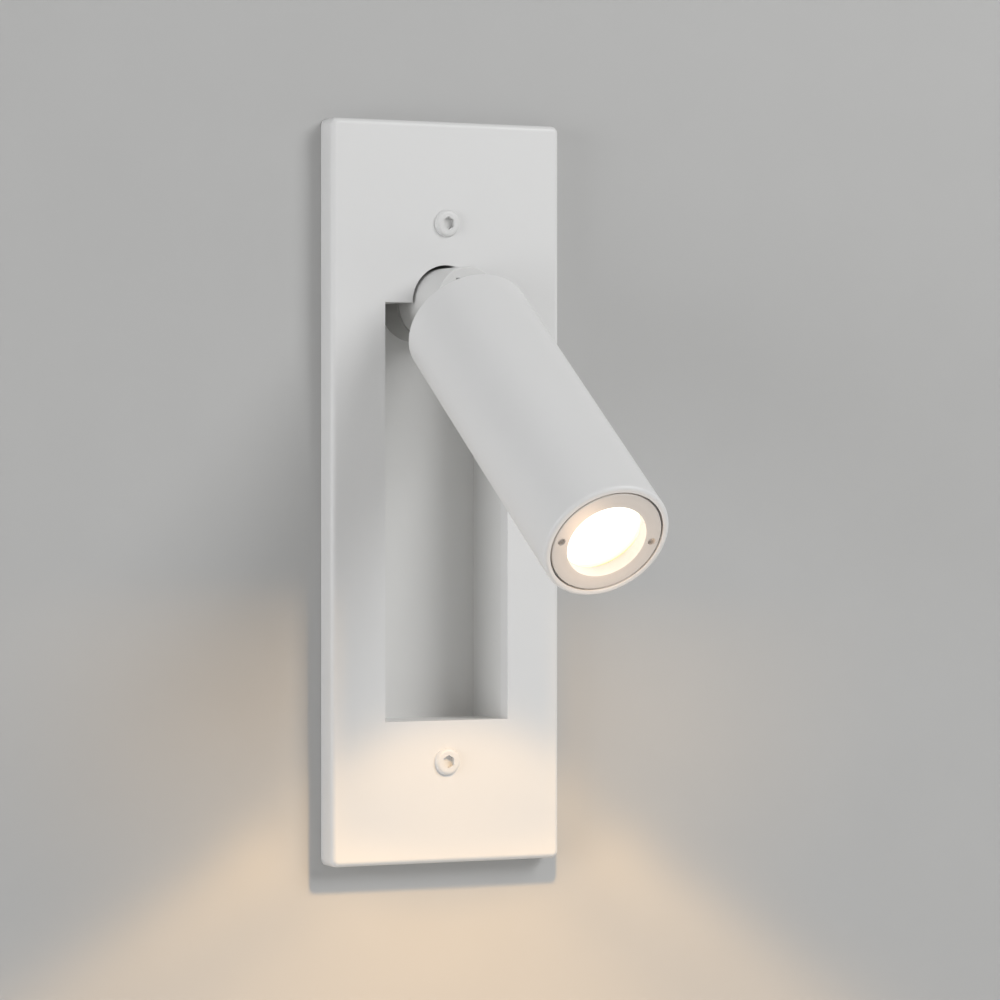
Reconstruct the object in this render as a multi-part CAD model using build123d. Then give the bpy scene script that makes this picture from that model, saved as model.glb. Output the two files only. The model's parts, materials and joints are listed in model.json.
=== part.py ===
from build123d import *
import os
from math import atan2, cos, degrees, radians, sin, sqrt

# Recessed bedside reading lamp. A tall face plate covers a box in the wall. A spot head on a fork
# hinge folds down into a pocket in the plate, and tilts up to stand straight out of the wall.
#
# Frame: X to the right, Z up, millimetres. The wall is the plane Y = 0 and the room is on its -Y side.
# The origin is the middle of the plate's back. Every housing piece is drawn in (x, up, out), where out is
# the distance in front of the wall, and every head piece in (x, over, along), where along runs from the
# hinge down the head's own axis.

# ---- Spot head
head_radius = 16.25
head_length = 91.5
head_mouth_edge = 0.9     # round on the tube's rim, round the mouth
head_rear_edge = 0.5
head_tilt = 36.0          # degrees below level, as the head stands at rest
bore_radius = 14.2        # inside of the tube, threaded at its mouth
mouth_step = 0.45         # the thin dark groove round the bezel
mouth_depth = 2.2
fit_gap = 0.05            # round a piece that is pressed, screwed or seated in its hole

# ---- Front of the head, from the mouth inwards
bezel_set = 0.1           # the bezel sits this far inside the rim
bezel_depth = 3.6
bezel_edge = 0.25
aperture_radius = 10.25
spanner_radius = 1.0
spanner_depth = 1.1
glass_depth = 2.0
glass_gap = 0.2
seal_depth = 1.5          # thickness of the flat seal behind the glass
seal_width = 1.5
holder_length = 13.0
holder_skirt = 1.4
holder_mouth_wall = 1.8
screw_room = 2.5          # hollow under the holder for the board's screw heads
optic_base_radius = 6.0
optic_flange = 1.2
optic_gap = 0.3
chip_radius = 4.5
chip_height = 1.0
board_gap = 0.5
board_depth = 1.6
pad_depth = 0.4
board_screw_radius = 1.0
board_screw_head_radius = 1.8
board_screw_head_depth = 1.2
board_screw_length = 5.0
sink_plate = 6.0
sink_length = 36.0
sink_core_radius = 7.0
sink_fins = 12
sink_fin_depth = 1.6
lead_radius = 1.9         # passage for the leads through the cap, the sink and the board

# ---- Hinge, on the axis of both the stem and the head
pivot_radius = 2.0
run_gap = 0.05            # running clearance round the pivot
tongue_depth = 6.0        # thickness of the tongue along the pivot
eye_radius = 5.5
jaw_gap = 0.4             # round the tongue, in the slot of the fork
washer_depth = 0.4
side_gap = 0.1
jaw_reach = 9.2           # from the pivot to the flat end of the fork
jaw_over = 1.2            # the lower corner's round is this much larger than the reach
swing_gap = 0.5           # between the fork's round corner and the head's rear face
cap_set = 0.5
cap_depth = 5.0
bush_wall = 0.7
pivot_head_radius = 3.3
pivot_head_depth = 1.8
pivot_head_sink = 2.6     # depth of the counterbore below the stem's side
pivot_socket = 2.5        # across flats
blind_wall = 1.9          # metal left at the blind end of the pivot hole

# ---- Stem
stem_radius = 8.9
stem_edge = 0.4
stem_stand = 12.5         # how far its flat end stands in front of the plate
notch_gap = 0.85          # dark gap between the stem and the half-round notch
collar_length = 10.0
collar_step = 0.5
spigot_radius = 6.0
lead_bore_radius = 3.0
stem_washer_depth = 1.0
stem_washer_rim = 3.0
nut_depth = 5.0
nut_wall = 3.2
spigot_overshoot = 1.0
locating_radius = 0.8
locating_depth = 3.0

# ---- Opening and recess
head_side_gap = 1.25      # beside the folded head
head_tip_gap = 4.6        # below the folded head
head_back_gap = 7.0       # behind the folded head
tray_seat = 0.1           # the tray stands this far back from the edge of the opening
tray_sheet = 1.2
tray_flange = 4.6

# ---- Plate
plate_web = 4.0           # metal in front of the hollow back
plate_rim = 3.7           # rim that meets the wall
plate_corner = 1.8
plate_edge = 1.4
plate_end = 26.0          # from the plate's end to a screw's centre
upper_screw_rise = 10.75  # from the notch to the upper screw's centre
lower_screw_drop = 10.5   # from the opening to the lower screw's centre
stack_gap = 0.1
pocket_gap = 0.5

# ---- Fasteners
plate_screw_radius = 2.0
plate_screw_hole_gap = 0.25
plate_screw_length = 16.0
plate_screw_head_radius = 3.5
plate_screw_head_depth = 1.2
plate_screw_socket = 3.0  # across flats
socket_depth = 1.3
insert_wall = 1.1
insert_flange = 2.2
insert_flange_depth = 0.8
insert_length = 8.0
tray_screw_radius = 1.25
tray_screw_head_radius = 1.9
tray_screw_head_depth = 1.1
tray_screw_skin = 1.0     # plate metal left in front of a blind hole
tray_screw_drop = 12.0    # from the opening's ends to the tray's screws

# ---- Box in the wall
box_sheet = 1.2
box_side_room = 5.0       # between the tray and the box
box_flange = 3.3
box_corner = 2.0
wiring_room = 9.0         # behind the tray
lug_width = 16.0
lug_reach = 5.5           # past the screw's centre
fixing_radius = 2.25
fixing_inset = 7.0        # from the box's end wall
fixing_spacing = 32.0
driver_width = 36.0
driver_length = 84.0
driver_depth = 20.0
driver_ear = 8.0
driver_ear_depth = 2.0
driver_end_gap = 12.0     # from the box's lower end
driver_lid_depth = 1.5
driver_lid_lip = 1.0
driver_corner = 3.0
terminal_width = 30.0
terminal_height = 17.0
terminal_depth = 12.0
terminal_end_gap = 15.0
terminal_poles = 3
terminal_well_radius = 2.2
terminal_well_depth = 6.0
terminal_port = 3.2
small_screw_radius = 1.5
small_screw_head_radius = 2.9
small_screw_head_depth = 1.8
earth_side = 15.0
earth_below_terminal = 9.0
gland_radius = 7.0
gland_lip = 2.0
gland_lip_depth = 1.6
gland_bore_radius = 3.6
gland_back_gap = 19.0     # from the box's back to the cable hole

# ---- Heights and depths that follow from the sizes above
notch_radius = stem_radius + notch_gap
collar_radius = stem_radius + collar_step
jaw_round = jaw_reach + jaw_over
hinge_to_rear = max(jaw_round, collar_radius) + swing_gap
reach = hinge_to_rear + head_length
opening_width = 2 * (head_radius + head_side_gap)
opening_height = reach + head_tip_gap
plate_height = plate_end + upper_screw_rise + notch_radius + opening_height + lower_screw_drop + plate_end
stem_up = plate_height / 2 - plate_end - upper_screw_rise - notch_radius
opening_mid = stem_up - opening_height / 2
opening_low = stem_up - opening_height
screw_ups = (plate_height / 2 - plate_end, plate_end - plate_height / 2)

pocket_depth = box_sheet + stack_gap + tray_sheet
plate_depth = plate_web + pocket_depth
stem_front = plate_depth + stem_stand
hinge_out = stem_front - jaw_reach
recess_floor = hinge_out - head_radius - head_back_gap
tray_back = recess_floor - tray_sheet
shoulder_out = recess_floor + collar_length
nut_top = tray_back - stem_washer_depth
spigot_end = nut_top - nut_depth - spigot_overshoot

tray_half_width = opening_width / 2 + tray_seat + tray_sheet
tray_screw_x = tray_half_width + tray_flange / 2
box_half_width = tray_half_width + box_side_room
plate_width = 2 * (box_half_width + box_sheet + box_flange + pocket_gap + plate_rim)
box_half_height = plate_height / 2 - plate_rim - pocket_gap - box_flange - box_sheet
box_floor = tray_back - wiring_room - driver_depth
box_back = box_floor - box_sheet

slot_width = tongue_depth + 2 * (washer_depth + side_gap)
slot_round = eye_radius + jaw_gap
ring_radius = bore_radius - fit_gap
lead_over = eye_radius + fit_gap + lead_radius

front = reach
bezel_front = front - bezel_set
glass_front = bezel_front - bezel_depth
glass_back = glass_front - glass_depth
holder_front = glass_back - seal_depth
board_front = holder_front - holder_length
board_back = board_front - board_depth
sink_front = board_back - pad_depth
sink_back = sink_front - sink_length
cap_rear = hinge_to_rear + cap_set

# Where the head's own (x, over, along) lies in the world: the pivot, and the axis that points down the head
head_axis = (0, -cos(radians(head_tilt)), -sin(radians(head_tilt)))
head_frame = Plane(origin=(0, -hinge_out, stem_up), x_dir=(1, 0, 0), z_dir=head_axis)
wall_frame = Plane.XZ


# ---- Helpers
def disc(radius, low, high, x=0, up=0):
    """A cylinder along the third direction, from low to high."""
    return Pos(x, up, (low + high) / 2) * Cylinder(radius, high - low)


def ring(outer, inner, low, high, x=0, up=0):
    """A flat ring or a length of tube."""
    return disc(outer, low, high, x, up) - disc(inner, low, high, x, up)


def cross_disc(radius, left, right):
    """A cylinder along X through the middle of its frame, such as the pivot."""
    return Pos((left + right) / 2, 0, 0) * Rot(0, 90, 0) * Cylinder(radius, right - left)


def slab(x_range, up_range, out_range):
    """A block between three pairs of limits."""
    sizes = [high - low for low, high in (x_range, up_range, out_range)]
    middles = [(high + low) / 2 for low, high in (x_range, up_range, out_range)]
    return Pos(*middles) * Box(*sizes)


def rounded_slab(width, height, corner, low, high, up=0):
    """A block with rounded upright corners, from low to high."""
    outline = Pos(0, up, low) * RectangleRounded(width, height, corner)
    return extrude(outline, high - low)


def hexagon(across_flats, low, high, x=0, up=0):
    """A hexagonal prism with a corner on top, for sockets and nuts."""
    outline = Pos(x, up, low) * RegularPolygon(across_flats / 2, 6, major_radius=False, rotation=30)
    return extrude(outline, high - low)


def button_screw(radius, length, head_radius_, head_depth, socket, x, up, seat):
    """A screw whose low domed head stands on the plane out = seat and whose shank goes into the wall."""
    shank = disc(radius, seat - length, seat, x, up)
    head = disc(head_radius_, seat, seat + head_depth, x, up)
    head = fillet(head.faces().sort_by(Axis.Z)[-1].edges(), head_depth * 0.85)
    recess = hexagon(socket, seat + head_depth - socket_depth, seat + head_depth, x, up)
    return shank + head - recess


def pan_screw(radius, length, head_radius_, head_depth, x, up, seat, facing):
    """A small screw with a cross slot. facing is 1 where its head looks out of the wall, -1 where it looks in."""
    shank = disc(radius, min(seat, seat - facing * length), max(seat, seat - facing * length), x, up)
    top = seat + facing * head_depth
    head = disc(head_radius_, min(seat, top), max(seat, top), x, up)
    slot_depth = head_depth / 2
    slot_range = (min(top, top - facing * slot_depth), max(top, top - facing * slot_depth))
    half_slot = head_radius_ / 6
    half_length = head_radius_ * 0.7
    for wide, tall in ((half_length, half_slot), (half_slot, half_length)):
        head -= slab((x - wide, x + wide), (up - tall, up + tall), slot_range)
    return shank + head


def opening_outline(grow):
    """The tall opening with its half-round notch, grown by a margin on every side."""
    window = Pos(0, opening_mid) * Rectangle(opening_width + 2 * grow, opening_height + 2 * grow)
    notch = Pos(0, stem_up) * Circle(notch_radius + grow)
    return window + notch


def opening_prism(grow, low, high):
    return Pos(0, 0, low) * extrude(opening_outline(grow), high - low)


def at_stem(piece):
    """Moves a piece drawn about the stem's axis to its height on the plate."""
    return Pos(0, stem_up, 0) * piece


def at_pivot(piece):
    """Moves a piece drawn about the pivot to its place in (x, up, out)."""
    return Pos(0, stem_up, hinge_out) * piece


def save(name, frame, *pieces):
    """Writes one node. Several pieces of the same kind stay separate solids in it."""
    solids = [solid for piece in pieces for solid in (frame * piece).solids()]
    shape = solids[0] if len(solids) == 1 else Compound(solids)
    export_step(shape, f"parts/{name}.step")


# ---- Housing
def front_plate():
    """Cast plate: rounded front edge, hollow back with a rim, the opening and the screw holes."""
    body = rounded_slab(plate_width, plate_height, plate_corner, 0, plate_depth)
    body = fillet(body.faces().sort_by(Axis.Z)[-1].edges(), plate_edge)
    inner_corner = max(plate_corner - plate_rim, plate_corner / 2)
    body -= rounded_slab(
        plate_width - 2 * plate_rim, plate_height - 2 * plate_rim, inner_corner, 0, pocket_depth
    )
    body -= opening_prism(0, pocket_depth, plate_depth)
    for up in screw_ups:
        body -= disc(plate_screw_radius + plate_screw_hole_gap, pocket_depth, plate_depth, 0, up)
    for x, up in tray_screw_places():
        body -= disc(tray_screw_radius + fit_gap, pocket_depth, plate_depth - tray_screw_skin, x, up)
    return body


def tray_screw_places():
    """Two screws on each side of the opening."""
    ups = (stem_up - tray_screw_drop, opening_low + tray_screw_drop)
    return [(x, up) for x in (-tray_screw_x, tray_screw_x) for up in ups]


def recess_tray():
    """Pressed pocket that follows the opening and its notch, with a flange against the back of the plate."""
    flange_low = pocket_depth - tray_sheet
    body = opening_prism(tray_seat + tray_sheet, tray_back, pocket_depth)
    body += opening_prism(tray_seat + tray_sheet + tray_flange, flange_low, pocket_depth)
    body -= opening_prism(tray_seat, recess_floor, pocket_depth)
    body -= disc(spigot_radius + fit_gap, tray_back, recess_floor, 0, stem_up)
    body -= at_stem(locating_hole())
    for x, up in tray_screw_places():
        body -= disc(tray_screw_radius + fit_gap, flange_low, pocket_depth, x, up)
    return body


def tray_screws():
    seat = pocket_depth - tray_sheet
    length = plate_depth - tray_screw_skin - seat - stack_gap
    return [
        pan_screw(tray_screw_radius, length, tray_screw_head_radius, tray_screw_head_depth, x, up, seat, -1)
        for x, up in tray_screw_places()
    ]


def plate_screws():
    return [
        button_screw(
            plate_screw_radius, plate_screw_length, plate_screw_head_radius,
            plate_screw_head_depth, plate_screw_socket, 0, up, plate_depth,
        )
        for up in screw_ups
    ]


def back_box():
    """Folded steel box: side walls, back, front flange on the wall, and two lugs for the plate's screws."""
    width = 2 * box_half_width
    height = 2 * box_half_height
    body = rounded_slab(width + 2 * box_sheet, height + 2 * box_sheet, box_corner, box_back, box_sheet)
    rim = box_sheet + box_flange
    body += rounded_slab(width + 2 * rim, height + 2 * rim, box_corner, 0, box_sheet)
    body -= rounded_slab(width, height, box_corner / 2, box_floor, box_sheet)
    for up in screw_ups:
        side = 1 if up > 0 else -1
        ends = sorted((up - side * lug_reach, side * (box_half_height + box_sheet)))
        lug = slab((-lug_width / 2, lug_width / 2), ends, (0, box_sheet))
        body += lug
        body -= disc(plate_screw_radius + insert_wall, 0, box_sheet, 0, up)
    for x in (-fixing_spacing / 2, fixing_spacing / 2):
        for side in (-1, 1):
            body -= disc(fixing_radius, box_back, box_floor, x, side * (box_half_height - fixing_inset))
    body -= gland_place(disc(gland_radius, -box_sheet, 2 * box_sheet))
    for x, up in back_screw_places():
        body -= disc(small_screw_radius + fit_gap, box_back, box_floor, x, up)
    return body


def gland_place(piece):
    """Turns a piece drawn along the third direction to stand on the box's upper end wall."""
    return Pos(0, box_half_height, box_back + gland_back_gap) * Rot(-90, 0, 0) * piece


def cable_grommet():
    """Rubber grommet for the supply cable, with a lip on each side of the sheet."""
    groove = gland_radius - fit_gap
    lip = gland_radius + gland_lip
    body = disc(groove, 0, box_sheet)
    body += disc(lip, box_sheet, box_sheet + gland_lip_depth)
    body += disc(lip, -gland_lip_depth, 0)
    body -= disc(gland_bore_radius, -gland_lip_depth, box_sheet + gland_lip_depth)
    return gland_place(body)


def lug_inserts():
    """Brass threaded inserts in the box's lugs."""
    inserts = []
    for up in screw_ups:
        sleeve = disc(plate_screw_radius + insert_wall - fit_gap, -insert_length, box_sheet, 0, up)
        flange_radius = plate_screw_radius + insert_flange
        flange = disc(flange_radius, box_sheet, box_sheet + insert_flange_depth, 0, up)
        bore = disc(plate_screw_radius + fit_gap, -insert_length, box_sheet + insert_flange_depth, 0, up)
        inserts.append(sleeve + flange - bore)
    return inserts


driver_low = -box_half_height + driver_end_gap
driver_mid = driver_low + driver_length / 2
driver_front = box_floor + driver_depth
terminal_up = box_half_height - terminal_end_gap - terminal_height / 2
earth_up = terminal_up - terminal_height / 2 - earth_below_terminal


def driver_ear_places():
    """The two screws that hold the driver, one at each end."""
    return [(0, driver_mid + side * (driver_length + driver_ear) / 2) for side in (-1, 1)]


def back_screw_places():
    return driver_ear_places() + [(-earth_side, earth_up)]


def driver_case():
    """Open moulded case with an ear at each end; the lid closes it."""
    lid_seat = driver_front - driver_lid_depth
    body = rounded_slab(driver_width, driver_length, driver_corner, box_floor, lid_seat, driver_mid)
    ears = rounded_slab(
        2 * driver_ear, driver_length + 2 * driver_ear, driver_corner,
        box_floor, box_floor + driver_ear_depth, driver_mid,
    )
    body += ears
    lip = driver_lid_lip + fit_gap
    body -= rounded_slab(
        driver_width - 2 * driver_lid_lip, driver_length - 2 * driver_lid_lip, driver_corner / 2,
        lid_seat - lip, lid_seat, driver_mid,
    )
    for x, up in driver_ear_places():
        body -= disc(small_screw_radius + fit_gap, box_floor, box_floor + driver_ear_depth, x, up)
    return body


def driver_lid():
    """Flat lid with a lip that drops into the case, and a port for the leads at each end."""
    lid_seat = driver_front - driver_lid_depth
    body = rounded_slab(driver_width, driver_length, driver_corner, lid_seat, driver_front, driver_mid)
    inset = 2 * (driver_lid_lip + fit_gap)
    body += rounded_slab(
        driver_width - inset, driver_length - inset, driver_corner / 2,
        lid_seat - driver_lid_lip, lid_seat, driver_mid,
    )
    for side in (-1, 1):
        port_up = driver_mid + side * (driver_length / 2 - driver_ear)
        body -= disc(lead_radius, lid_seat - driver_lid_lip, driver_front, 0, port_up)
    return body


def driver_screws():
    seat = box_floor + driver_ear_depth
    length = driver_ear_depth + box_sheet
    return [
        pan_screw(small_screw_radius, length, small_screw_head_radius, small_screw_head_depth, x, up, seat, 1)
        for x, up in driver_ear_places()
    ]


def earth_screw():
    return pan_screw(
        small_screw_radius, box_sheet, small_screw_head_radius, small_screw_head_depth,
        -earth_side, earth_up, box_floor, 1,
    )


def terminal_places():
    """Screw wells of the terminal block: one row at each edge, one pair for each pole."""
    pitch = terminal_width / terminal_poles
    xs = [pitch * (pole - (terminal_poles - 1) / 2) for pole in range(terminal_poles)]
    return [(x, terminal_up + side * terminal_height / 4) for x in xs for side in (-1, 1)]


def terminal_block():
    top = box_floor + terminal_depth
    half_width = terminal_width / 2
    half_height = terminal_height / 2
    body = slab(
        (-half_width, half_width), (terminal_up - half_height, terminal_up + half_height), (box_floor, top)
    )
    body = fillet(body.edges().filter_by(Axis.Z), terminal_port / 4)
    for x, up in terminal_places():
        body -= disc(terminal_well_radius, top - terminal_well_depth, top, x, up)
    pitch = terminal_width / terminal_poles
    for pole in range(terminal_poles):
        x = pitch * (pole - (terminal_poles - 1) / 2)
        port = slab(
            (x - terminal_port / 2, x + terminal_port / 2),
            (terminal_up - half_height, terminal_up + half_height),
            (box_floor + terminal_port / 2, box_floor + terminal_port * 1.5),
        )
        body -= port
    return body


def terminal_screws():
    """Brass clamping screws at the bottom of the wells."""
    seat = box_floor + terminal_depth - terminal_well_depth
    radius = terminal_well_radius - fit_gap
    depth = terminal_well_depth / 2
    screws = []
    for x, up in terminal_places():
        screw = disc(radius, seat, seat + depth, x, up)
        half_slot = radius / 5
        slot = slab((x - radius, x + radius), (up - half_slot, up + half_slot), (seat + depth / 2, seat + depth))
        screws.append(screw - slot)
    return screws


# ---- Stem and hinge
def locating_hole():
    """The small blind hole that keys the stem, the collar and the tray together, about the stem's axis."""
    middle = (spigot_radius + collar_radius) / 2
    return disc(locating_radius + fit_gap, tray_back, shoulder_out + locating_depth, 0, middle)


def locating_pin():
    middle = (spigot_radius + collar_radius) / 2
    return at_stem(disc(locating_radius, tray_back, shoulder_out + locating_depth - fit_gap, 0, middle))


def fork_slot():
    """The space that the tongue swings in: open to the front and below, with a round corner above."""
    half = slot_width / 2
    below = -(stem_radius + jaw_over)
    ahead = jaw_reach + jaw_over
    slot = cross_disc(slot_round, -half, half)
    slot += slab((-half, half), (below, slot_round), (0, ahead))
    slot += slab((-half, half), (below, 0), (-slot_round, ahead))
    return slot


def jaw_corner():
    """What comes off the fork's lower front corner, so that the head's rear face swings past it."""
    wide = stem_radius + jaw_over
    corner = slab((-wide, wide), (-wide, 0), (0, jaw_reach + jaw_over))
    return corner - cross_disc(jaw_round, -wide, wide)


def stem():
    """Round arm: fork at the front, shoulder on the collar, and a hollow threaded spigot through the tray."""
    barrel = disc(stem_radius, shoulder_out, stem_front)
    barrel = fillet(barrel.faces().sort_by(Axis.Z)[-1].edges(), stem_edge)
    body = barrel + disc(spigot_radius, spigot_end, shoulder_out)
    pivot = Pos(0, 0, hinge_out)
    body -= pivot * jaw_corner()
    body -= pivot * fork_slot()
    body -= pivot * cross_disc(pivot_radius + fit_gap, blind_wall - stem_radius, stem_radius)
    head_seat = stem_radius - pivot_head_sink
    body -= pivot * cross_disc(pivot_head_radius + fit_gap, head_seat, stem_radius)
    slot_floor = hinge_out - sqrt(max(slot_round**2 - lead_bore_radius**2, 0))
    body -= disc(lead_bore_radius, spigot_end, slot_floor)
    body -= locating_hole()
    return at_stem(body)


def stem_collar():
    """Round spacer between the stem's shoulder and the floor of the recess."""
    body = ring(collar_radius, spigot_radius + fit_gap, recess_floor, shoulder_out)
    return at_stem(body - locating_hole())


def stem_washer():
    rim = spigot_radius + stem_washer_rim
    return at_stem(ring(rim, spigot_radius + fit_gap, nut_top, tray_back))


def stem_nut():
    nut = hexagon(2 * (spigot_radius + nut_wall), nut_top - nut_depth, nut_top)
    return at_stem(nut - disc(spigot_radius + fit_gap, nut_top - nut_depth, nut_top))


def pivot_screw():
    """Socket screw: its head sinks into the right cheek and its end is blind in the left one."""
    head_seat = stem_radius - pivot_head_sink
    head_top = head_seat + pivot_head_depth
    body = cross_disc(pivot_radius, blind_wall + fit_gap - stem_radius, head_seat)
    body += cross_disc(pivot_head_radius, head_seat, head_top)
    socket = hexagon(pivot_socket, head_top - pivot_head_depth / 2, head_top)
    return at_pivot(body - Rot(0, 90, 0) * socket)


def friction_washers():
    """A thin washer on each cheek of the fork: their drag holds the head where it is put."""
    half = slot_width / 2
    washers = []
    for left in (-half, half - washer_depth):
        washer = cross_disc(eye_radius - side_gap, left, left + washer_depth)
        washer -= cross_disc(pivot_radius + run_gap, left, left + washer_depth)
        washers.append(at_pivot(washer))
    return washers


def rear_cap():
    """Disc that closes the tube, with the tongue that reaches back into the fork."""
    half = tongue_depth / 2
    body = disc(ring_radius, cap_rear, cap_rear + cap_depth)
    body += slab((-half, half), (-eye_radius, eye_radius), (0, cap_rear + cap_depth / 2))
    body += cross_disc(eye_radius, -half, half)
    body -= cross_disc(pivot_radius + run_gap, -half, half)
    body -= disc(lead_radius + fit_gap, cap_rear, cap_rear + cap_depth, 0, -lead_over)
    return body


def lead_bush():
    """Rubber bush that keeps the leads off the edge of the cap's hole."""
    return ring(lead_radius, lead_radius - bush_wall, cap_rear, cap_rear + cap_depth, 0, -lead_over)


# ---- Head
def head_tube():
    body = disc(head_radius, hinge_to_rear, front)
    body = fillet(body.faces().sort_by(Axis.Z)[-1].edges(), head_mouth_edge)
    body = fillet(body.faces().sort_by(Axis.Z)[0].edges(), head_rear_edge)
    body -= disc(bore_radius, hinge_to_rear, front)
    return body - disc(bore_radius + mouth_step, front - mouth_depth, front)


def bezel_ring():
    """Screwed ring that holds the glass, with two blind holes for a pin spanner."""
    body = disc(ring_radius, glass_front, bezel_front)
    body = fillet(body.faces().sort_by(Axis.Z)[-1].edges(), bezel_edge)
    body -= disc(aperture_radius, glass_front, bezel_front)
    hole_at = (aperture_radius + ring_radius) / 2
    for x in (-hole_at, hole_at):
        body -= disc(spanner_radius, bezel_front - spanner_depth, bezel_front, x)
    return body


def cover_glass():
    return disc(bore_radius - glass_gap, glass_back, glass_front)


def lens_seal():
    """Flat silicone seal between the glass and the lens holder."""
    outer = ring_radius - glass_gap
    return ring(outer, outer - seal_width, holder_front, glass_back)


def turned(points):
    """A solid of revolution from (radius, along) points."""
    section = make_face(Polyline(*[(radius, 0, along) for radius, along in points], close=True))
    return revolve(section, Axis.Z)


optic_top_radius = ring_radius - holder_mouth_wall
optic_back = board_front + chip_height + optic_gap


def lens_holder():
    """Moulded cup: its skirt stands on the board, its cone carries the optic by the rim."""
    cone_back = board_front + screw_room
    seat = holder_front - optic_flange - fit_gap
    wide = optic_top_radius + fit_gap
    step = wide - optic_flange
    throat = optic_base_radius + optic_gap
    return turned([
        (ring_radius, board_front),
        (ring_radius, holder_front),
        (wide, holder_front),
        (wide, seat),
        (step, seat),
        (throat, cone_back),
        (ring_radius - holder_skirt, cone_back),
        (ring_radius - holder_skirt, board_front),
    ])


def optic_lens():
    """Clear collimating lens: a cone with a flange, hollow over the chip."""
    flange_back = holder_front - optic_flange
    neck = optic_top_radius - optic_flange - optic_gap
    base = optic_base_radius - optic_gap
    well = min(chip_radius + optic_gap, base - optic_gap)
    well_top = optic_back + 2 * optic_gap + chip_height
    return turned([
        (0, holder_front),
        (optic_top_radius, holder_front),
        (optic_top_radius, flange_back),
        (neck, flange_back),
        (base, optic_back),
        (well, optic_back),
        (well, well_top),
        (0, well_top),
    ])


board_radius = ring_radius - board_gap
board_screw_x = (optic_base_radius + ring_radius - holder_skirt) / 2
board_lead_over = ring_radius - holder_skirt - lead_radius - fit_gap


def led_board():
    body = disc(board_radius, board_back, board_front)
    body -= disc(lead_radius, board_back, board_front, 0, -board_lead_over)
    for x in (-board_screw_x, board_screw_x):
        body -= disc(board_screw_radius + fit_gap, board_back, board_front, x)
    return body


def thermal_pad():
    body = disc(board_radius, sink_front, board_back)
    body -= disc(lead_radius, sink_front, board_back, 0, -board_lead_over)
    for x in (-board_screw_x, board_screw_x):
        body -= disc(board_screw_radius + fit_gap, sink_front, board_back, x)
    return body


def led_chip():
    return disc(chip_radius, board_front, board_front + chip_height)


def board_screws():
    return [
        pan_screw(
            board_screw_radius, board_screw_length, board_screw_head_radius,
            board_screw_head_depth, x, 0, board_front, 1,
        )
        for x in (-board_screw_x, board_screw_x)
    ]


def heat_sink():
    """Aluminium sink pressed into the tube: a plate under the board, a core and radial fins behind it."""
    plate_back = sink_front - sink_plate
    body = disc(ring_radius, plate_back, sink_front)
    body += disc(sink_core_radius, sink_back, plate_back)
    half = sink_fin_depth / 2
    envelope = disc(ring_radius, sink_back, plate_back)
    for fin in range(sink_fins):
        blade = slab((0, ring_radius + fit_gap), (-half, half), (sink_back, plate_back)) & envelope
        body += Rot(0, 0, (fin + 0.5) * 360 / sink_fins) * blade
    body -= disc(lead_radius, sink_back, sink_front, 0, -board_lead_over)
    hole_end = board_front - board_screw_length - fit_gap
    for x in (-board_screw_x, board_screw_x):
        body -= disc(board_screw_radius + fit_gap, hole_end, sink_front, x)
    return body


HOUSING = {
    "front_plate": front_plate,
    "recess_tray": recess_tray,
    "tray_screws": tray_screws,
    "plate_screws": plate_screws,
    "back_box": back_box,
    "lug_inserts": lug_inserts,
    "cable_grommet": cable_grommet,
    "driver_case": driver_case,
    "driver_lid": driver_lid,
    "driver_screws": driver_screws,
    "terminal_block": terminal_block,
    "terminal_screws": terminal_screws,
    "earth_screw": earth_screw,
    "stem": stem,
    "stem_collar": stem_collar,
    "locating_pin": locating_pin,
    "stem_washer": stem_washer,
    "stem_nut": stem_nut,
    "pivot_screw": pivot_screw,
    "friction_washers": friction_washers,
}
HEAD = {
    "head_tube": head_tube,
    "rear_cap": rear_cap,
    "lead_bush": lead_bush,
    "heat_sink": heat_sink,
    "thermal_pad": thermal_pad,
    "led_board": led_board,
    "led_chip": led_chip,
    "board_screws": board_screws,
    "lens_holder": lens_holder,
    "optic_lens": optic_lens,
    "lens_seal": lens_seal,
    "cover_glass": cover_glass,
    "bezel_ring": bezel_ring,
}

os.makedirs("parts", exist_ok=True)
for group, frame in ((HOUSING, wall_frame), (HEAD, head_frame)):
    for name, make in group.items():
        made = make()
        save(name, frame, *(made if isinstance(made, list) else [made]))

print(f"plate {plate_width:.2f} x {plate_height:.2f} x {plate_depth:.2f} mm, opening {opening_width:.2f} x {opening_height:.2f}")
print(f"stem at Z {stem_up:.2f}, pivot at Y {-hinge_out:.2f}, recess floor at Y {-recess_floor:.2f}, box back at Y {-box_back:.2f}")
print(f"folded head: {head_tilt - 90:.1f} degrees, level: {head_tilt:.1f} degrees")
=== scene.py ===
# %% [markdown]
# # A recessed bedside reading light, dressed in Blender
#
# The lamp is a tall white plate on a wall. Behind the plate a steel box sits in the wall, and in front of
# it a short spot head hangs on a hinge and can fold down into a pocket in the plate. The solid shapes
# come ready made from the CAD model, so this lesson is about everything that the solids lack: the edges
# that paint rounds off, the grain of powder coat, turned metal, a lens that shines, and the light of the
# room.

# %% Start with an empty scene and the lamp's own solids
import json
import math

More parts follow.
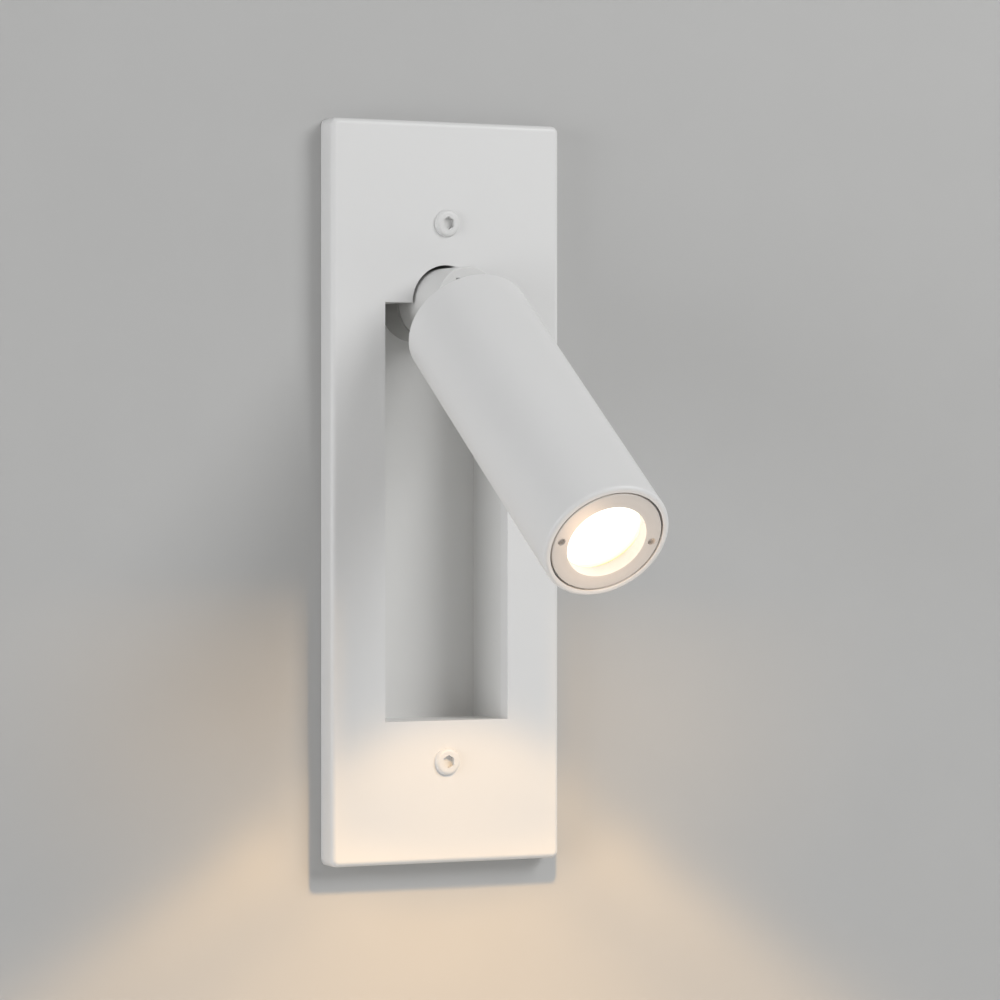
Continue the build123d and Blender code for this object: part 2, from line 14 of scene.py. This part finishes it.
import bpy
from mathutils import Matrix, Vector

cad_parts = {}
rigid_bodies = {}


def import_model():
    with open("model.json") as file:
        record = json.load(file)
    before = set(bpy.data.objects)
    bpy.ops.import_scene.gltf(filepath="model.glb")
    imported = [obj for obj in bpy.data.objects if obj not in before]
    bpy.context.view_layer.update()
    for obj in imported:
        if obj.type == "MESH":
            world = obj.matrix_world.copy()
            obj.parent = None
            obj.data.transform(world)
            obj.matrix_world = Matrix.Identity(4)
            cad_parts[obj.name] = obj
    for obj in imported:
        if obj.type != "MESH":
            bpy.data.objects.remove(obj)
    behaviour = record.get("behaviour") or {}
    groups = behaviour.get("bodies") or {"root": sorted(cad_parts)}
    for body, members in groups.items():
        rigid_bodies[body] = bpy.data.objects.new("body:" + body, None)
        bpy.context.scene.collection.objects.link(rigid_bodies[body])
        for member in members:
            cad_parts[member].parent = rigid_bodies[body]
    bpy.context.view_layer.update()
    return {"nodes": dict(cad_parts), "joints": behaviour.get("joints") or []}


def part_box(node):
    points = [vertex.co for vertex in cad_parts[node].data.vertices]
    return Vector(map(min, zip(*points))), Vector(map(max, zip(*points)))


for leftover in list(bpy.data.objects):
    bpy.data.objects.remove(leftover)

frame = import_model()
nodes = frame["nodes"]

# %% [markdown]
# ## Where things are
#
# The plate's back lies on the plane Y = 0, and the room is on its -Y side. The head turns on a pivot in
# front of the plate. What is turned on a lathe, such as the bezel and the heat sink, has marks that run
# round the head's axis, so the pivot and that axis are worked out once, here, from the record and from
# the solids.

# %% The pivot and the head's own axis
MM = 0.001
hinge = frame["joints"][0]
pivot = Vector(hinge["pos_m"])
bezel_low, bezel_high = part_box("bezel_ring")
bezel_middle = (bezel_low + bezel_high) / 2
head_axis = (bezel_middle - pivot).normalized()
head_turn = Vector((0, 0, 1)).rotation_difference(head_axis).to_euler()
plate_low, plate_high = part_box("front_plate")
tilt = math.degrees(math.asin(-head_axis.z))
print("head points", round(tilt, 1), "degrees below level")

# %% [markdown]
# ## Effects that several materials share
#
# A node group is a small tool that can be used again. Each group below turns a place on the surface into
# numbers: how high the grain stands, how rough it is there, how much the tone drifts. The shader itself
# stays in the material, so that one group can serve paint, plastic and metal with different values.

# %% Helpers for node groups
def effect(name, inputs, outputs):
    group = bpy.data.node_groups.new(name, "ShaderNodeTree")
    for label, kind, value in inputs:
        socket = group.interface.new_socket(name=label, in_out="INPUT", socket_type=kind)
        if value is not None:
            socket.default_value = value
    for label, kind in outputs:
        group.interface.new_socket(name=label, in_out="OUTPUT", socket_type=kind)
    return group, group.nodes.new("NodeGroupInput"), group.nodes.new("NodeGroupOutput")


def maths(tree, operation, first, second=None, clamp=False):
    """A Math node whose inputs are numbers or other nodes' outputs."""
    node = tree.nodes.new("ShaderNodeMath")
    node.operation = operation
    node.use_clamp = clamp
    for socket, value in zip(node.inputs, (first, second)):
        if value is None:
            continue
        if isinstance(value, (int, float)):
            socket.default_value = value
        else:
            tree.links.new(value, socket)
    return node.outputs[0]


def split_by_axis(tree, place):
    """The square of a place's distance from the Z axis, and its distance along it."""
    parts = tree.nodes.new("ShaderNodeSeparateXYZ")
    tree.links.new(place, parts.inputs[0])
    x_squared = maths(tree, "MULTIPLY", parts.outputs["X"], parts.outputs["X"])
    y_squared = maths(tree, "MULTIPLY", parts.outputs["Y"], parts.outputs["Y"])
    return maths(tree, "ADD", x_squared, y_squared), parts.outputs["Z"]


def noise(tree, place, scale, detail=2.0, roughness=0.5):
    node = tree.nodes.new("ShaderNodeTexNoise")
    node.inputs["Detail"].default_value = detail
    node.inputs["Roughness"].default_value = roughness
    tree.links.new(place, node.inputs["Vector"])
    if isinstance(scale, (int, float)):
        node.inputs["Scale"].default_value = scale
    else:
        tree.links.new(scale, node.inputs["Scale"])
    return node.outputs["Fac"]


# %% [markdown]
# ### Grain
#
# Powder coat melts into a skin that is almost smooth, with a fine orange peel of bumps about a millimetre
# apart. Moulded plastic has the same kind of grain, only finer. Two sizes of noise make it: the fine one
# is the peel, and a coarse one lets the tone and the gloss drift a little, as they do on any real
# surface.

# %% The grain group
DRIFTS_PER_METRE = 38.0

grain, grain_in, grain_out = effect(
    "moulded_or_coated_grain",
    [("Bumps per metre", "NodeSocketFloat", 900.0), ("Gloss drift", "NodeSocketFloat", 0.06),
     ("Roughness", "NodeSocketFloat", 0.45)],
    [("Height", "NodeSocketFloat"), ("Roughness", "NodeSocketFloat"), ("Tone", "NodeSocketFloat")],
)
place = grain.nodes.new("ShaderNodeTexCoord").outputs["Object"]
peel = noise(grain, place, grain_in.outputs["Bumps per metre"], detail=3.0, roughness=0.6)
drift = noise(grain, place, DRIFTS_PER_METRE, detail=3.0)
centred = maths(grain, "SUBTRACT", drift, 0.5)
gloss = maths(grain, "MULTIPLY", centred, grain_in.outputs["Gloss drift"])
grain_gloss = maths(grain, "ADD", gloss, grain_in.outputs["Roughness"], clamp=True)
grain.links.new(peel, grain_out.inputs["Height"])
grain.links.new(grain_gloss, grain_out.inputs["Roughness"])
grain.links.new(drift, grain_out.inputs["Tone"])
print("grain group nodes:", len(grain.nodes))

# %% [markdown]
# ### Turning marks
#
# A lathe leaves fine rings, because the tool moves a little with each turn. Seen from the axis they are
# circles, and along a shaft they are bands. Both come from one noise that is stretched to nothing round
# the axis: it reads only the distance from the axis and the distance along it. The place comes in already
# turned, so that the group's own Z is the axis of whatever piece it is used on.

# %% The turning group
WIDE_RINGS_PER_METRE = 700.0
GLOSS_SPREAD = 0.25

turning, turning_in, turning_out = effect(
    "turning_marks",
    [("Place", "NodeSocketVector", None), ("Rings per metre", "NodeSocketFloat", 4000.0),
     ("Roughness", "NodeSocketFloat", 0.35)],
    [("Height", "NodeSocketFloat"), ("Roughness", "NodeSocketFloat"), ("Tone", "NodeSocketFloat")],
)
from_axis_squared, along_axis = split_by_axis(turning, turning_in.outputs["Place"])
rings_at = turning.nodes.new("ShaderNodeCombineXYZ")
turning.links.new(maths(turning, "SQRT", from_axis_squared), rings_at.inputs["X"])
turning.links.new(along_axis, rings_at.inputs["Y"])
rings = noise(turning, rings_at.outputs[0], turning_in.outputs["Rings per metre"], roughness=0.7)
wider = noise(turning, rings_at.outputs[0], WIDE_RINGS_PER_METRE, detail=1.0)
spread = maths(turning, "MULTIPLY", maths(turning, "SUBTRACT", rings, 0.5), GLOSS_SPREAD)
turned_gloss = maths(turning, "ADD", spread, turning_in.outputs["Roughness"], clamp=True)
turning.links.new(rings, turning_out.inputs["Height"])
turning.links.new(turned_gloss, turning_out.inputs["Roughness"])
turning.links.new(wider, turning_out.inputs["Tone"])
print("turning group nodes:", len(turning.nodes))

# %% [markdown]
# ## Materials
#
# Nearly every finish below is one Principled shader with two close colours, mixed by the tone that drifts
# over the surface, a roughness that drifts with it, and a bump from the grain. Nothing on a real lamp is
# one flat colour, and the two colours are chosen a few percent apart, so that the eye feels it but
# doesn't see it.

# %% Helpers for materials
GRAIN_STRENGTH = 0.35
RING_STRENGTH = 0.3
RING_DEPTH_MM = 0.004


def new_material(name):
    material = bpy.data.materials.new(name)
    material.use_nodes = True
    tree = material.node_tree
    return material, tree, tree.nodes["Principled BSDF"]


def place_group(tree, group, **values):
    node = tree.nodes.new("ShaderNodeGroup")
    node.node_tree = group
    for label, value in values.items():
        node.inputs[label.replace("_", " ")].default_value = value
    return node


def two_tones(tree, factor, light, dark, target):
    """Mixes two close colours into a colour socket."""
    mix = tree.nodes.new("ShaderNodeMix")
    mix.data_type = "RGBA"
    mix.inputs["A"].default_value = (*light, 1)
    mix.inputs["B"].default_value = (*dark, 1)
    tree.links.new(factor, mix.inputs["Factor"])
    tree.links.new(mix.outputs["Result"], target)


def raise_bumps(tree, height, strength, depth_mm, shader):
    bump = tree.nodes.new("ShaderNodeBump")
    bump.inputs["Strength"].default_value = strength
    bump.inputs["Distance"].default_value = depth_mm * MM
    tree.links.new(height, bump.inputs["Height"])
    tree.links.new(bump.outputs[0], shader.inputs["Normal"])


def dress(tree, shader, group, light, dark, metallic):
    """Two tones, a roughness and a sheen, as a group of grain or of rings gives them."""
    two_tones(tree, group.outputs["Tone"], light, dark, shader.inputs["Base Color"])
    tree.links.new(group.outputs["Roughness"], shader.inputs["Roughness"])
    shader.inputs["Metallic"].default_value = metallic


def grained(name, light, dark, roughness, bumps=900.0, depth_mm=0.02, metallic=0.0):
    """Paint, plastic, rubber or plated metal: a grained surface with two close tones."""
    material, tree, shader = new_material(name)
    group = place_group(tree, grain, Bumps_per_metre=bumps, Roughness=roughness)
    dress(tree, shader, group, light, dark, metallic)
    raise_bumps(tree, group.outputs["Height"], GRAIN_STRENGTH, depth_mm, shader)
    return material


def place_on_head(tree):
    """A place on the surface, measured from the pivot, with Z along the head."""
    mapping = tree.nodes.new("ShaderNodeMapping")
    mapping.vector_type = "TEXTURE"
    mapping.inputs["Location"].default_value = pivot
    mapping.inputs["Rotation"].default_value = head_turn
    coordinates = tree.nodes.new("ShaderNodeTexCoord")
    tree.links.new(coordinates.outputs["Object"], mapping.inputs["Vector"])
    return mapping.outputs[0]


def turned(name, light, dark, roughness, metallic, rings):
    """Metal off a lathe: fine rings round the head's axis."""
    material, tree, shader = new_material(name)
    group = place_group(tree, turning, Rings_per_metre=rings, Roughness=roughness)
    tree.links.new(place_on_head(tree), group.inputs["Place"])
    dress(tree, shader, group, light, dark, metallic)
    raise_bumps(tree, group.outputs["Height"], RING_STRENGTH, RING_DEPTH_MM, shader)
    return material


# %% [markdown]
# ### White powder coat
#
# The plate and the screws are satin white. The head has the same white a little lighter, as painted light,
# and the pocket and the stem have it a little darker, as painted shade of the recess and the notch, and a
# little duller. The coat reflects softly, with no clear mirror image, so its roughness is near the middle.
# The white is a little under full white, because nothing real reflects everything, and a full white would
# have no room left for a highlight. The stem's round base has a grey coat as painted shade, standing for
# the deep shade in the notch.

# %% Paints
satin_white = grained(
    "satin_white_coat", (0.79, 0.79, 0.787), (0.765, 0.765, 0.76),
    roughness=0.42, bumps=1100.0, depth_mm=0.018,
)
# The head's copy of the white is a little lighter than the plate's, which is painted light on the head.
head_white_painted_light = grained(
    "satin_white_head_painted_light", (0.825, 0.825, 0.822), (0.80, 0.80, 0.795),
    roughness=0.40, bumps=1300.0, depth_mm=0.014,
)
# The pocket's and the stem's copy of the white is a little darker, which is painted shade of the recess
# and the notch; its higher roughness is a duller finish.
pocket_and_stem_painted_shade = grained(
    "pocket_coat_painted_shade", (0.76, 0.76, 0.75), (0.73, 0.73, 0.72),
    roughness=0.50, bumps=1000.0,
)
screw_white = grained(
    "painted_screw_white", (0.78, 0.78, 0.775), (0.74, 0.74, 0.73),
    roughness=0.38, bumps=2200.0, depth_mm=0.012,
)
# The stem's round base is grey as painted shade, standing for the deep shade in the notch.
collar_grey_painted_shade = grained(
    "collar_coat_painted_shade", (0.44, 0.44, 0.425), (0.40, 0.40, 0.385),
    roughness=0.50, bumps=1200.0, depth_mm=0.015,
)
primer_white = grained(
    "box_primer_white", (0.72, 0.72, 0.71), (0.66, 0.66, 0.65),
    roughness=0.55, bumps=700.0, depth_mm=0.03,
)

# %% [markdown]
# ### Metals
#
# The bezel round the lens is turned alloy with a warm grey finish, so its rings run round the head's
# axis. Most screws inside, and the stem's washer and nut, are zinc plated. The inserts, the clamping
# screws and the earth screw are brass.

# %% Turned and plated metals
bezel_grey = turned(
    "warm_grey_bezel", (0.79, 0.755, 0.72), (0.74, 0.705, 0.67),
    roughness=0.44, metallic=0.35, rings=3500.0,
)
sink_alloy = turned(
    "machined_sink_alloy", (0.80, 0.80, 0.81), (0.72, 0.72, 0.73),
    roughness=0.38, metallic=1.0, rings=2500.0,
)
board_alloy = grained(
    "board_alloy_white_mask", (0.84, 0.84, 0.82), (0.80, 0.80, 0.78),
    roughness=0.45, bumps=3000.0,
)
zinc = grained(
    "zinc_plate", (0.66, 0.67, 0.68), (0.56, 0.57, 0.58),
    roughness=0.34, bumps=1600.0, depth_mm=0.01, metallic=1.0,
)
brass = grained(
    "turned_brass", (0.80, 0.62, 0.30), (0.72, 0.54, 0.25),
    roughness=0.30, bumps=2000.0, depth_mm=0.008, metallic=1.0,
)

# %% [markdown]
# ### Plastics and rubber
#
# The driver, the terminal block, the lens holder and the friction washers are moulded plastic, which has
# a fine, even grain. Rubber is rougher and nearly black. The silicone seal is hidden behind the bezel, so
# a pale grained finish is enough for it.

# %% Mouldings
driver_grey = grained(
    "moulded_driver_grey", (0.80, 0.80, 0.78), (0.76, 0.76, 0.74),
    roughness=0.55, bumps=2600.0,
)
terminal_cream = grained(
    "moulded_terminal_cream", (0.84, 0.82, 0.74), (0.80, 0.78, 0.70),
    roughness=0.32, bumps=2000.0,
)
holder_white = grained(
    "moulded_holder_white", (0.86, 0.86, 0.84), (0.82, 0.82, 0.80),
    roughness=0.50, bumps=2600.0,
)
washer_plastic = grained(
    "bearing_plastic", (0.78, 0.77, 0.71), (0.73, 0.72, 0.66),
    roughness=0.45, bumps=2400.0,
)
black_rubber = grained(
    "black_rubber", (0.030, 0.030, 0.031), (0.042, 0.042, 0.043),
    roughness=0.72, bumps=1500.0, depth_mm=0.03,
)
clear_silicone = grained(
    "clear_silicone", (0.76, 0.76, 0.74), (0.72, 0.72, 0.70),
    roughness=0.40, bumps=1200.0,
)
grey_pad = grained(
    "heat_pad_grey", (0.40, 0.41, 0.43), (0.35, 0.36, 0.38),
    roughness=0.80, bumps=1800.0, depth_mm=0.03,
)

# %% [markdown]
# ### The light source
#
# A lamp that is on is the brightest thing in the picture. The acrylic optic spreads the light of one
# small chip over its whole face, so it is the optic that shines here. It is nearly white except close to
# the rim, where the light has gone through more plastic and comes out yellow. The distance from the axis,
# raised to a high power, keeps that yellow to a narrow ring.

# %% Glowing optic, chip and cover glass
RIM_POWER = 5.0
BODY_MIDDLE = (0.55, 0.54, 0.52)
BODY_RIM = (0.50, 0.46, 0.38)


def glowing(name, middle, rim, rim_radius_mm, strength):
    """A round face that shines, with one colour in its middle and another at its rim."""
    material, tree, shader = new_material(name)
    from_axis_squared = split_by_axis(tree, place_on_head(tree))[0]
    share = maths(tree, "DIVIDE", from_axis_squared, (rim_radius_mm * MM) ** 2, clamp=True)
    share = maths(tree, "POWER", share, RIM_POWER, clamp=True)
    two_tones(tree, share, middle, rim, shader.inputs["Emission Color"])
    two_tones(tree, share, BODY_MIDDLE, BODY_RIM, shader.inputs["Base Color"])
    shader.inputs["Emission Strength"].default_value = strength
    shader.inputs["Roughness"].default_value = 0.25
    return material


lit_optic = glowing("lit_optic", (1.0, 0.985, 0.93), (1.0, 0.93, 0.42), rim_radius_mm=11.6, strength=1.8)
lit_chip = glowing("lit_chip", (1.0, 0.92, 0.70), (1.0, 0.80, 0.40), rim_radius_mm=4.5, strength=2.0)

clear_glass, glass_tree, glass_shader = new_material("cover_glass_clear")
glass_grain = place_group(glass_tree, grain, Bumps_per_metre=400.0, Gloss_drift=0.01, Roughness=0.03)
dress(glass_tree, glass_shader, glass_grain, light=(1, 1, 1), dark=(0.98, 0.99, 0.985), metallic=0.0)
glass_shader.inputs["Transmission Weight"].default_value = 1.0
glass_shader.inputs["IOR"].default_value = 1.46
print("materials:", len(bpy.data.materials))

# %% [markdown]
# ## Which piece has which finish
#
# One table keeps the whole lamp in view. Each solid keeps its own shape and only changes its finish, and
# a solid that has no line here would be noticed at once, because the last line lists them.

# %% The table of finishes
FINISH = {
    "front_plate": satin_white, "recess_tray": pocket_and_stem_painted_shade,
    "stem": pocket_and_stem_painted_shade, "stem_collar": collar_grey_painted_shade, "head_tube": head_white_painted_light, "rear_cap": head_white_painted_light,
    "plate_screws": screw_white, "pivot_screw": screw_white,
    "bezel_ring": bezel_grey, "cover_glass": clear_glass, "optic_lens": lit_optic, "led_chip": lit_chip,
    "lens_seal": clear_silicone, "lens_holder": holder_white, "led_board": board_alloy,
    "thermal_pad": grey_pad, "heat_sink": sink_alloy, "board_screws": zinc, "lead_bush": black_rubber,
    "back_box": primer_white, "lug_inserts": brass, "cable_grommet": black_rubber, "tray_screws": zinc,
    "driver_case": driver_grey, "driver_lid": driver_grey, "driver_screws": zinc,
    "terminal_block": terminal_cream, "terminal_screws": brass, "earth_screw": brass,
    "locating_pin": zinc, "stem_washer": zinc, "stem_nut": zinc, "friction_washers": washer_plastic,
}
for name, material in FINISH.items():
    mesh = nodes[name].data
    mesh.materials.clear()
    mesh.materials.append(material)
print("without a finish:", sorted(set(nodes) - set(FINISH)))

# %% [markdown]
# ## Paint rounds every edge
#
# A CAD edge is perfectly sharp, and nothing painted is. A Weld modifier joins the mesh where its faces
# meet, and a Bevel modifier then rounds each sharp edge by a fraction of a millimetre, which is enough to
# catch a line of light. Modifiers leave the solid itself alone.

# %% Soft edges on the plate, the pocket, the stem and the box
WELD_WITHIN = 0.002 * MM
SHARPER_THAN = math.radians(50)


def soften(name, width_mm):
    piece = nodes[name]
    weld = piece.modifiers.new("join_faces", "WELD")
    weld.merge_threshold = WELD_WITHIN
    bevel = piece.modifiers.new("soft_edges", "BEVEL")
    bevel.width = width_mm * MM
    bevel.segments = 2
    bevel.limit_method = "ANGLE"
    bevel.angle_limit = SHARPER_THAN
    bevel.harden_normals = True


for name, width_mm in (("front_plate", 0.22), ("recess_tray", 0.2), ("stem", 0.15), ("back_box", 0.25)):
    soften(name, width_mm)

# %% [markdown]
# ## The room
#
# The lamp needs a wall, so a thin backdrop stands at the plate's back with a hole where the box goes in.
# The plate covers the hole, and the box's flange rests on the wall above and below it. The wall is a
# tenth of a millimetre behind the plate, so that the two never share a plane. A pale floor lies well
# below. Seen from behind or from beneath both turn clear, so that the lamp can be looked at from every
# side. Neither is part of the lamp.

# %% Wall with a hole, and floor
FLOOR = -0.30
CEILING = 1.4
WALL = 0.1 * MM
WALL_HALF_WIDTH = 1.6
FLOOR_HALF_WIDTH = 2.5
PLATE_OVERLAP = 2.5 * MM
FLANGE_OVERLAP = 1.5 * MM


def flat_panel(name, corners, faces, material):
    mesh = bpy.data.meshes.new(name)
    mesh.from_pydata(corners, [], faces)
    panel = bpy.data.objects.new(name, mesh)
    bpy.context.scene.collection.objects.link(panel)
    mesh.materials.append(material)
    return panel


def clear_from_behind(material):
    """Lets the eye through the back of a thin panel."""
    tree = material.node_tree
    clear = tree.nodes.new("ShaderNodeBsdfTransparent")
    facing = tree.nodes.new("ShaderNodeNewGeometry")
    either = tree.nodes.new("ShaderNodeMixShader")
    tree.links.new(facing.outputs["Backfacing"], either.inputs[0])
    tree.links.new(tree.nodes["Principled BSDF"].outputs[0], either.inputs[1])
    tree.links.new(clear.outputs[0], either.inputs[2])
    tree.links.new(either.outputs[0], tree.nodes["Material Output"].inputs["Surface"])


def on_wall(half_width, low, high):
    """The four corners of an upright rectangle on the wall, counted round it."""
    return [
        (-half_width, WALL, low), (half_width, WALL, low),
        (half_width, WALL, high), (-half_width, WALL, high),
    ]


hole_x = plate_high.x - PLATE_OVERLAP
hole_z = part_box("back_box")[1].z - FLANGE_OVERLAP
wall_corners = on_wall(WALL_HALF_WIDTH, FLOOR, CEILING) + on_wall(hole_x, -hole_z, hole_z)
wall_faces = [(i, (i + 1) % 4, 4 + (i + 1) % 4, 4 + i) for i in range(4)]

wall_paint, wall_tree, wall_shader = new_material("wall_paint")
wall_grain = place_group(wall_tree, grain, Bumps_per_metre=260.0)
wall_colour = wall_shader.inputs["Base Color"]
two_tones(wall_tree, wall_grain.outputs["Tone"], (0.525, 0.525, 0.52), (0.505, 0.505, 0.50), wall_colour)
raise_bumps(wall_tree, wall_grain.outputs["Height"], strength=0.15, depth_mm=0.05, shader=wall_shader)
wall_shader.inputs["Specular IOR Level"].default_value = 0.2
clear_from_behind(wall_paint)
wall = flat_panel("room_wall", wall_corners, wall_faces, wall_paint)
print("wall faces the room:", wall.data.polygons[0].normal.y < 0)

floor_pale = grained("pale_floor", (0.80, 0.80, 0.79), (0.78, 0.78, 0.77), roughness=0.7, bumps=120.0)
clear_from_behind(floor_pale)
half = FLOOR_HALF_WIDTH
floor_corners = [(-half, -half, FLOOR), (half, -half, FLOOR), (half, half, FLOOR), (-half, half, FLOOR)]
flat_panel("room_floor", floor_corners, [(0, 1, 2, 3)], floor_pale)

# %% [markdown]
# ## Light
#
# Most of the light in a bedroom by day comes from everywhere, so the world gives a plain grey. One large
# soft lamp high on the right makes the shadows under the head and beside the plate, and a weaker one far
# out on the left skims along the wall: it brightens the sides of the plate and the head, and hardly
# touches the wall. Their strengths were found by rendering each lamp alone and adding the pictures up to
# match the photograph, and then trimmed by comparing whole pictures.

# %% World, soft key and side light
ROOM_LIGHT = 0.32
LAMP_MIDDLE = (0, 0, 0)

world = bpy.data.worlds.new("room")
bpy.context.scene.world = world
world.use_nodes = True
world.node_tree.nodes["Background"].inputs["Color"].default_value = (1.0, 1.0, 1.0, 1)
world.node_tree.nodes["Background"].inputs["Strength"].default_value = ROOM_LIGHT


def aim(lamp, target):
    direction = Vector(target) - lamp.location
    lamp.rotation_euler = direction.to_track_quat("-Z", "Y").to_euler()


def new_lamp(name, kind, where, target, watts, colour, **settings):
    data = bpy.data.lights.new(name, kind)
    data.energy = watts
    data.color = colour
    for key, value in settings.items():
        setattr(data, key, value)
    lamp = bpy.data.objects.new(name, data)
    bpy.context.scene.collection.objects.link(lamp)
    lamp.location = where
    aim(lamp, target)
    return lamp


new_lamp(
    "soft_key", "AREA", where=(0.82, -1.10, 0.78), target=LAMP_MIDDLE,
    watts=11.8, colour=(1.0, 1.0, 1.0), shape="DISK", size=0.9,
)
new_lamp(
    "side_light", "AREA", where=(-1.38, -0.43, 0.02), target=LAMP_MIDDLE,
    watts=6.5, colour=(0.98, 0.985, 1.0), shape="DISK", size=0.75,
)

# %% [markdown]
# ### The warm beam on the wall
#
# The light that leaves the lamp falls on the plate's lower end and down the wall in a wide arch with a
# soft rim. A plain spot is too bright near the lamp and too weak lower down, so this one has nodes of its
# own. A Light Falloff node set to constant takes the distance out of it. One ramp gives the strength for
# each angle from straight down, as the data sheet of a real spot does. A second one goes by how squarely
# the ray meets the wall: it is weaker straight at the plate, which is close, and nothing where the ray
# would miss the wall and only tint the room. The arch reaches a little higher in its middle, so the angle
# is lifted there. Stray light spreads far wider, but shows only on the wall on both sides of the plate,
# less on the right. A small point lamp in front of the lens warms the bezel.

# %% Beam with its own profile, and the glow on the bezel
BEAM_BY_ANGLE = (
    (58, 0.0), (55, 0.05), (53, 0.16), (50, 0.50), (47.5, 0.71), (42, 0.72),
    (38.5, 0.86), (31, 1.0), (24, 0.45), (14, 0.05), (0, 0.0),
)
BEAM_BY_FACING = (
    (0.05, 0.0), (0.30, 1.0), (0.60, 1.0), (0.622, 0.84),
    (0.638, 0.50), (0.67, 0.515), (0.77, 0.565), (1.0, 0.57),
)
STRAY_BY_COSINE = (
    (0.0, 0.0), (0.10, 0.10), (0.20, 0.18), (0.38, 0.27), (0.55, 0.29), (0.66, 0.22), (0.73, 0.0),
)
STRAY_BY_FACING = ((0.42, 0.0), (0.50, 0.42), (0.56, 0.72), (0.65, 0.95), (0.72, 1.0))
STRAY_ON_RIGHT = 0.72
LIFTED_FROM = 0.55
LIFT = 0.32
LENS_FROM_PIVOT = 109 * MM
GLOW_BELOW_AXIS = 3 * MM


def ramp_of(tree, value, pairs):
    """A ramp from (place, strength) pairs."""
    node = tree.nodes.new("ShaderNodeValToRGB")
    stops = node.color_ramp.elements
    while len(stops) < len(pairs):
        stops.new(1.0)
    for stop, (place_of_stop, share) in zip(stops, pairs):
        stop.position = place_of_stop
        stop.color = (share, share, share, 1)
    tree.links.new(value, node.inputs["Fac"])
    return node.outputs["Color"]


def share_along(lamp, ray, direction):
    """How far each ray of a lamp goes along a direction of the room."""
    tree = lamp.data.node_tree
    node = tree.nodes.new("ShaderNodeVectorMath")
    node.operation = "DOT_PRODUCT"
    node.inputs[1].default_value = lamp.rotation_euler.to_matrix().transposed() @ Vector(direction)
    tree.links.new(ray, node.inputs[0])
    return node.outputs["Value"]


def beam_strength(lamp):
    """The strength of each ray: the beam itself, and stray light beside the plate."""
    tree = lamp.data.node_tree
    ray = tree.nodes.new("ShaderNodeTexCoord").outputs["Normal"]
    down = tree.nodes.new("ShaderNodeSeparateXYZ")
    tree.links.new(ray, down.inputs[0])
    cosine = maths(tree, "ABSOLUTE", down.outputs["Z"])
    facing = share_along(lamp, ray, (0, 1, 0))

    squarely = maths(tree, "SUBTRACT", facing, LIFTED_FROM, clamp=True)
    lifted = maths(tree, "ADD", cosine, maths(tree, "MULTIPLY", squarely, LIFT))
    by_cosine = [(math.cos(math.radians(angle)), share) for angle, share in BEAM_BY_ANGLE]
    by_angle = ramp_of(tree, lifted, by_cosine)
    direct = maths(tree, "MULTIPLY", by_angle, ramp_of(tree, facing, BEAM_BY_FACING))

    slant = maths(tree, "DIVIDE", share_along(lamp, ray, (1, 0, 0)), facing)
    reach = plate_low.y - lamp.location.y
    left, right = ((x - lamp.location.x) / reach for x in (plate_low.x, plate_high.x))
    on_left = maths(tree, "LESS_THAN", slant, left)
    on_right = maths(tree, "MULTIPLY", maths(tree, "GREATER_THAN", slant, right), STRAY_ON_RIGHT)
    stray_by_cosine = ramp_of(tree, cosine, STRAY_BY_COSINE)
    stray = maths(tree, "MULTIPLY", stray_by_cosine, ramp_of(tree, facing, STRAY_BY_FACING))
    stray = maths(tree, "MULTIPLY", stray, maths(tree, "ADD", on_left, on_right))
    return maths(tree, "ADD", direct, stray)


beam_at = Vector((4, -66, -22)) * MM
almost_down = Vector((-3, 0, -100)) * MM
beam = new_lamp(
    "warm_beam", "SPOT", where=beam_at, target=beam_at + almost_down, watts=53.0, colour=(1.0, 0.61, 0.23),
    spot_size=math.radians(180), spot_blend=0.05, shadow_soft_size=5 * MM,
)
beam.data.use_nodes = True
beam_tree = beam.data.node_tree
falloff = beam_tree.nodes.new("ShaderNodeLightFalloff")
beam_tree.links.new(beam_strength(beam), falloff.inputs["Strength"])
beam_tree.links.new(falloff.outputs["Constant"], beam_tree.nodes["Emission"].inputs["Strength"])

below_axis = Vector((1, 0, 0)).cross(head_axis)
lens = pivot + head_axis * LENS_FROM_PIVOT + below_axis * GLOW_BELOW_AXIS
new_lamp(
    "lens_glow", "POINT", where=lens, target=lens + head_axis, watts=0.0052, colour=(1.0, 0.68, 0.42),
    shadow_soft_size=6 * MM,
)
print("beam starts", [round(1000 * value) for value in beam_at], "mm from the plate's middle")

# %% [markdown]
# ## Camera
#
# The camera stands to the left of the lamp and level with it, and its lens is long, so the plate's edges
# stay nearly parallel. Its place was worked out from the edges of the plate, the opening and the head.

# %% The camera
CAMERA_AT = (-0.48830, -0.99297, 0.00277)
DEGREES_DOWN = 0.2458
DEGREES_RIGHT = 27.044
SENSOR_MM = 36.0
LENS_PER_SENSOR = 4.2928

eye = bpy.data.cameras.new("eye")
eye.sensor_width = SENSOR_MM
eye.lens = SENSOR_MM * LENS_PER_SENSOR
camera = bpy.data.objects.new("camera", eye)
bpy.context.scene.collection.objects.link(camera)
camera.location = CAMERA_AT
camera.rotation_euler = (math.radians(90 - DEGREES_DOWN), 0, math.radians(-DEGREES_RIGHT))
bpy.context.scene.camera = camera
bpy.context.scene.view_settings.view_transform = "Standard"
